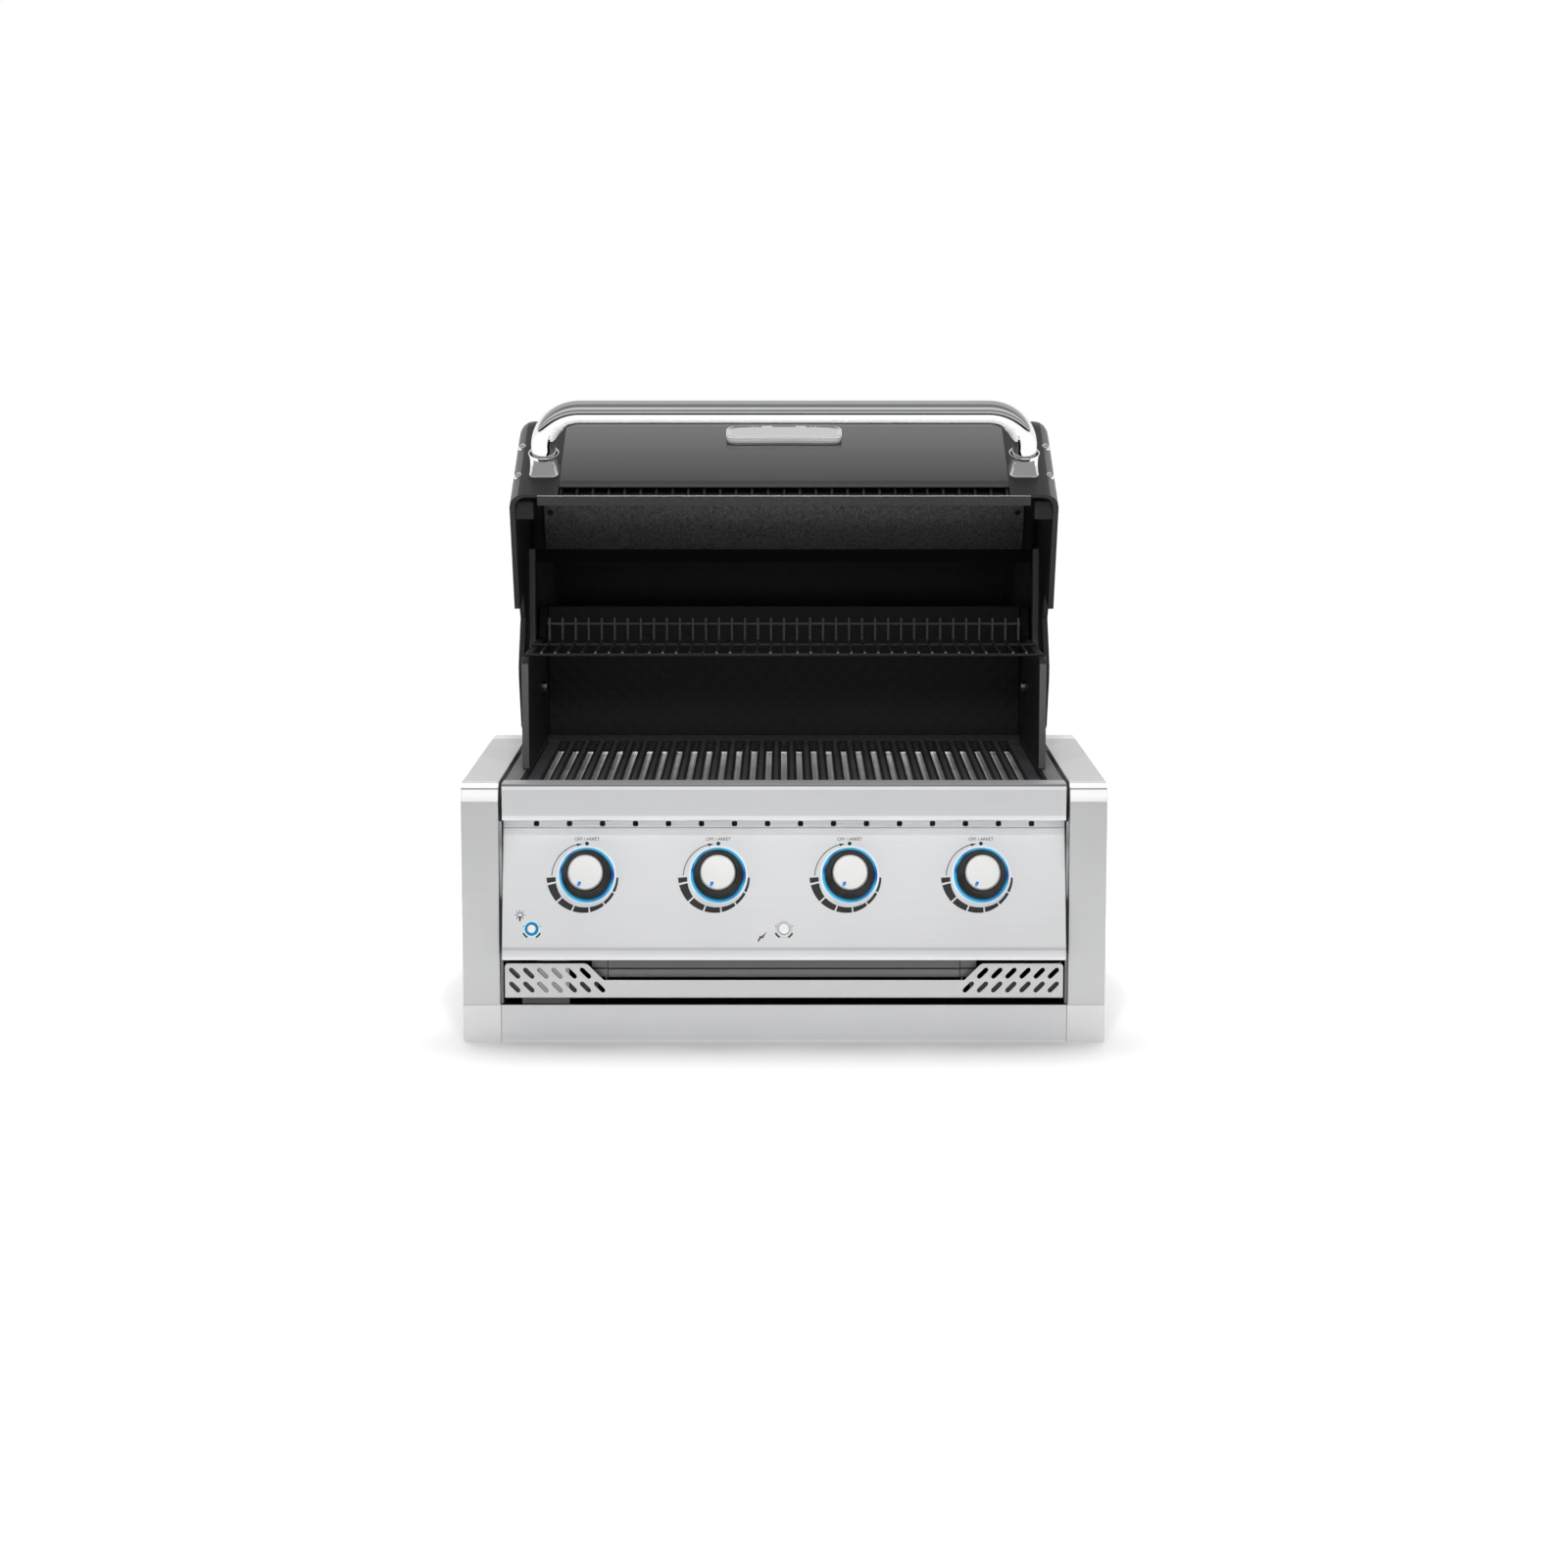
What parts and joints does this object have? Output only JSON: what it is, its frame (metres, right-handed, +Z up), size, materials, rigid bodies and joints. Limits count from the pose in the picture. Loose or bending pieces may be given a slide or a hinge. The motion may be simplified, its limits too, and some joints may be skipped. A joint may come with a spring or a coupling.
{
  "type": "built in gas grill",
  "caption": "Built in gas grill with a hinged hood, cooking grids, turning push-in knobs, buttons, a warming rack and a pull-out grease tray.",
  "frame": {"origin": "middle of the side trims' width and depth, on the counter face under the base pan", "axes": "+X along the grill's width to the user's right, +Y from the controls to the rear, +Z up"},
  "size_m": [0.794, 0.5968, 0.7866],
  "materials": {
    "brushed_steel": "brushed along the width",
    "polished_steel": "polished",
    "foot_grey": "smooth light grey",
    "black_enamel": "gloss black enamel",
    "black_cast": "fine textured black paint on castings",
    "black_sheet": "satin black",
    "black_wire": "satin black enamel",
    "cast_iron": "seasoned, satin",
    "grey_cast": "as cast, dark grey",
    "knob_black": "satin black",
    "button_white": "gloss",
    "light_blue": "lit translucent ring",
    "brass": "machined"
  },
  "bodies": {
    "frame_and_cook_box": {"base_pan": "brushed_steel", "burner_1": "polished_steel", "burner_2": "polished_steel", "burner_3": "polished_steel", "burner_4": "polished_steel", "control_panel": "brushed_steel", "cooking_grid_left": "cast_iron", "cooking_grid_right": "cast_iron", "firebox": "grey_cast", "foot_cap_left": "foot_grey", "foot_cap_right": "foot_grey", "front_fascia": "brushed_steel", "gas_manifold": "polished_steel", "gas_valve_1": "brass", "gas_valve_2": "brass", "gas_valve_3": "brass", "gas_valve_4": "brass", "heat_tent_1": "polished_steel", "heat_tent_2": "polished_steel", "heat_tent_3": "polished_steel", "heat_tent_4": "polished_steel", "igniter_bezel": "polished_steel", "knob_bezel_1": "light_blue", "knob_bezel_2": "light_blue", "knob_bezel_3": "light_blue", "knob_bezel_4": "light_blue", "light_bezel": "polished_steel", "lower_vent_rail": "brushed_steel", "plinth_panel": "brushed_steel", "rear_wall": "black_sheet", "side_casting_left": "black_cast", "side_casting_right": "black_cast", "side_trim_left": "brushed_steel", "side_trim_right": "brushed_steel", "tray_cradle": "brushed_steel", "vent_strip": "brushed_steel", "warming_rack": "black_wire"},
    "hood": {"hood_skin": "black_enamel", "hood_end_cap_left": "black_cast", "hood_end_cap_right": "black_cast", "hood_liner": "black_sheet", "hood_hinge_frame": "black_sheet", "handle_tube": "polished_steel", "handle_bracket_left": "polished_steel", "handle_bracket_right": "polished_steel", "hood_plate": "polished_steel", "hinge_pin_left": "polished_steel", "hinge_pin_right": "polished_steel"},
    "valve_stem_1": {"valve_stem_1": "brass"},
    "knob_1": {"knob_1": "knob_black"},
    "valve_stem_2": {"valve_stem_2": "brass"},
    "knob_2": {"knob_2": "knob_black"},
    "valve_stem_3": {"valve_stem_3": "brass"},
    "knob_3": {"knob_3": "knob_black"},
    "valve_stem_4": {"valve_stem_4": "brass"},
    "knob_4": {"knob_4": "knob_black"},
    "light_button": {"light_button": "button_white"},
    "igniter_button": {"igniter_button": "button_white"},
    "grease_tray": {"grease_tray": "brushed_steel"}
  },
  "joints": [
    {"name": "hood_hinge", "type": "hinge", "parent": "frame_and_cook_box", "child": "hood", "pos_m": [0, 0.1345, 0.4015], "axis": [1, 0, 0], "range_deg": [0, 65]},
    {"name": "valve_press_1", "type": "slide", "parent": "frame_and_cook_box", "child": "valve_stem_1", "axis": [0, 0.9635, -0.2676], "range_m": [0, 0.003], "stiffness_N_per_m": 1500, "springref_m": -0.002},
    {"name": "knob_turn_1", "type": "hinge", "parent": "valve_stem_1", "child": "knob_1", "pos_m": [-0.243, -0.23906, 0.20898], "axis": [0, -0.9635, 0.2676], "range_deg": [-150, 120]},
    {"name": "valve_press_2", "type": "slide", "parent": "frame_and_cook_box", "child": "valve_stem_2", "axis": [0, 0.9635, -0.2676], "range_m": [0, 0.003], "stiffness_N_per_m": 1500, "springref_m": -0.002},
    {"name": "knob_turn_2", "type": "hinge", "parent": "valve_stem_2", "child": "knob_2", "pos_m": [-0.081, -0.23906, 0.20898], "axis": [0, -0.9635, 0.2676], "range_deg": [-150, 120]},
    {"name": "valve_press_3", "type": "slide", "parent": "frame_and_cook_box", "child": "valve_stem_3", "axis": [0, 0.9635, -0.2676], "range_m": [0, 0.003], "stiffness_N_per_m": 1500, "springref_m": -0.002},
    {"name": "knob_turn_3", "type": "hinge", "parent": "valve_stem_3", "child": "knob_3", "pos_m": [0.081, -0.23906, 0.20898], "axis": [0, -0.9635, 0.2676], "range_deg": [-150, 120]},
    {"name": "valve_press_4", "type": "slide", "parent": "frame_and_cook_box", "child": "valve_stem_4", "axis": [0, 0.9635, -0.2676], "range_m": [0, 0.003], "stiffness_N_per_m": 1500, "springref_m": -0.002},
    {"name": "knob_turn_4", "type": "hinge", "parent": "valve_stem_4", "child": "knob_4", "pos_m": [0.243, -0.23906, 0.20898], "axis": [0, -0.9635, 0.2676], "range_deg": [-150, 120]},
    {"name": "light_press", "type": "slide", "parent": "frame_and_cook_box", "child": "light_button", "axis": [0, 0.9635, -0.2676], "range_m": [0, 0.002], "stiffness_N_per_m": 800, "springref_m": -0.001},
    {"name": "igniter_press", "type": "slide", "parent": "frame_and_cook_box", "child": "igniter_button", "axis": [0, 0.9635, -0.2676], "range_m": [0, 0.002], "stiffness_N_per_m": 800, "springref_m": -0.001},
    {"name": "tray_slide", "type": "slide", "parent": "frame_and_cook_box", "child": "grease_tray", "axis": [0, -1, 0], "range_m": [0, 0.3]}
  ]
}
